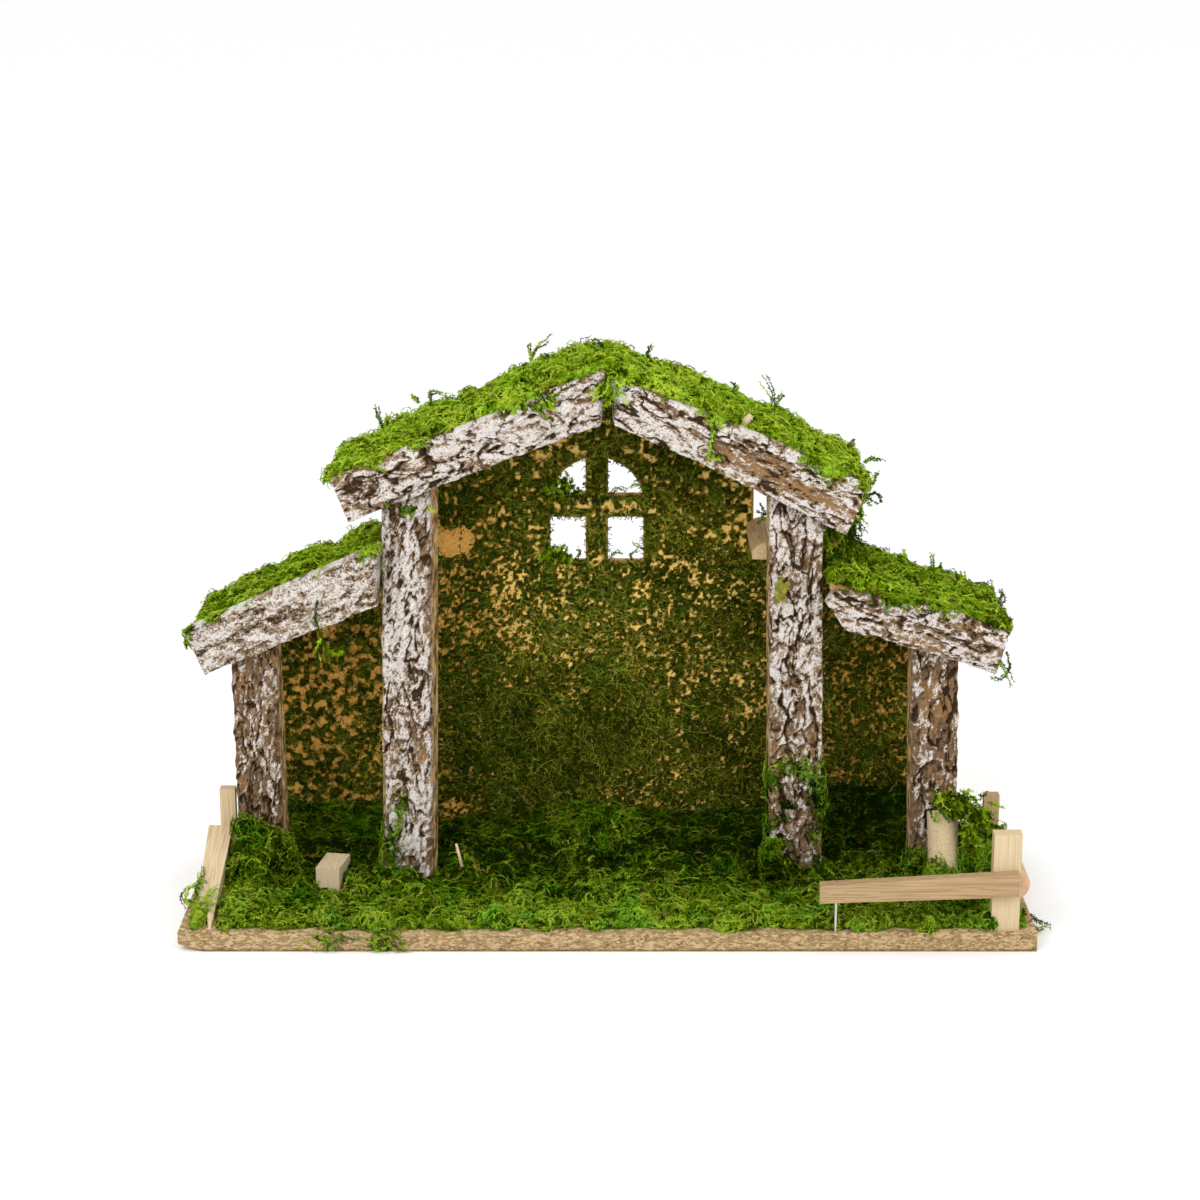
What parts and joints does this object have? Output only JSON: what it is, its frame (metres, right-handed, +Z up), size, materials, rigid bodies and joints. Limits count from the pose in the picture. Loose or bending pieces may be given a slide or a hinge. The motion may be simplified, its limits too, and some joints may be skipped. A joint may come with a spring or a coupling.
{
  "type": "wooden nativity stable",
  "caption": "Open-fronted toy stable on a flat base: gabled middle bay between two lean-to bays, bark posts and fascias, moss on the roofs, floor and back wall, arched window, low fence.",
  "frame": {"origin": "middle of the base board's underside, which rests on the table", "axes": "+Z up, +X to the right along the base's long side as seen from the open front, +Y from the open front to the back wall"},
  "size_m": [0.4317, 0.1495, 0.2842],
  "materials": {
    "chipboard": "pressed wood chips, raw and unsealed, with coarse flakes along the cut edges",
    "hardboard": "raw orange-tan fibreboard, matt, smooth outside",
    "bark": "deeply fissured brown bark, its ridges brushed with thin white paint, sawn wood along the sides",
    "pine": "planed pale pine, raw, with straight grain and sawn ends",
    "moss": "dried and dyed plait moss, bright yellow-green to dark olive, matt",
    "steel": "bright drawn wire"
  },
  "bodies": {
    "root": {"base_board": "chipboard", "back_wall": "hardboard", "main_roof_left": "hardboard", "main_roof_right": "hardboard", "side_roof_left": "hardboard", "side_roof_right": "hardboard", "tall_post_left": "bark", "tall_post_right": "bark", "short_post_left": "bark", "short_post_right": "bark", "main_rafter_left": "bark", "main_rafter_right": "bark", "side_rafter_left": "bark", "side_rafter_right": "bark", "eave_strut_left": "pine", "eave_strut_right": "pine", "left_fence_post": "pine", "left_fence_plank": "pine", "right_fence_front_post": "pine", "right_fence_rear_post": "pine", "right_fence_front_rail": "pine", "right_fence_side_rail": "pine", "floor_block": "pine", "leaning_billet": "pine", "main_roof_moss_left": "moss", "main_roof_moss_right": "moss", "side_roof_moss_left": "moss", "side_roof_moss_right": "moss", "floor_moss": "moss", "wall_moss": "moss", "left_post_moss": "moss", "right_post_moss": "moss", "fence_moss": "moss", "floor_mound_moss": "moss", "rail_pin": "steel", "post_nails": "steel", "wall_nails": "steel"}
  },
  "joints": []
}
